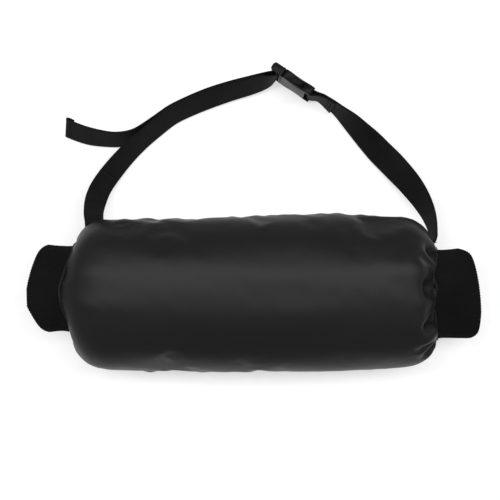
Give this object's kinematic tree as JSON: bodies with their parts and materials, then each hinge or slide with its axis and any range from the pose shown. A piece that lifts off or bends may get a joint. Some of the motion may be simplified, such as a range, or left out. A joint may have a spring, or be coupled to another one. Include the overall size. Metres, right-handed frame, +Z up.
{
  "type": "hand warmer muff",
  "caption": "Padded tubular hand-warmer muff with rib-knit cuffs and an adjustable webbing waist strap closed by a side-release buckle.",
  "frame": {"origin": "centre of the flat face at the middle of the back shell, on which the muff rests", "axes": "+X along the tube from the left cuff to the right cuff, +Y from the tube towards the waist strap, +Z up out of the front face"},
  "size_m": [0.468, 0.3294, 0.1014],
  "materials": {
    "shell_fabric": "satin-matte tight woven soft shell",
    "batting": "matte polyester batting",
    "fleece": "short brushed fleece",
    "rib_knit": "matte rib knit, two plies",
    "binding_tape": "folded shell fabric",
    "webbing": "woven polypropylene webbing",
    "thread": "bonded polyester thread",
    "buckle_plastic": "moulded acetal, fine satin grain"
  },
  "bodies": {
    "muff": {"front_shell": "shell_fabric", "back_shell": "shell_fabric", "front_insulation": "batting", "back_insulation": "batting", "front_lining": "fleece", "back_lining": "fleece", "left_cuff": "rib_knit", "right_cuff": "rib_knit", "left_seam_binding": "binding_tape", "right_seam_binding": "binding_tape", "left_seam_thread": "thread", "right_seam_thread": "thread"},
    "strap_loop": {"adjustable_webbing": "webbing", "fixed_webbing": "webbing", "left_root_thread": "thread", "right_root_thread": "thread", "socket_fold_thread": "thread", "tail_hem_thread": "thread", "buckle_socket": "buckle_plastic"},
    "latch_half": {"latch_frame": "buckle_plastic"},
    "outer_arm": {"outer_latch_arm": "buckle_plastic"},
    "inner_arm": {"inner_latch_arm": "buckle_plastic"}
  },
  "joints": [
    {"name": "strap_swing", "type": "hinge", "parent": "muff", "child": "strap_loop", "pos_m": [-0.1705, 0.0786, 0.036], "axis": [0.9975, -0.0705, 0.0039], "range_deg": [0, 110], "deforming": ["adjustable_webbing", "fixed_webbing", "left_root_thread", "right_root_thread"]},
    {"name": "buckle_release", "type": "slide", "parent": "strap_loop", "child": "latch_half", "axis": [-0.829, 0.5592, 0], "range_m": [0, 0.032], "deforming": ["adjustable_webbing", "outer_latch_arm", "inner_latch_arm"]},
    {"name": "outer_arm_squeeze", "type": "hinge", "parent": "latch_half", "child": "outer_arm", "pos_m": [0.03333, 0.23561, 0.0308], "axis": [0.5592, 0.829, 0], "range_deg": [0, 12], "stiffness_Nm_per_rad": 0.05},
    {"name": "inner_arm_squeeze", "type": "hinge", "parent": "latch_half", "child": "inner_arm", "pos_m": [0.03333, 0.23561, 0.0096], "axis": [-0.5592, -0.829, 0], "range_deg": [0, 12], "stiffness_Nm_per_rad": 0.05}
  ]
}
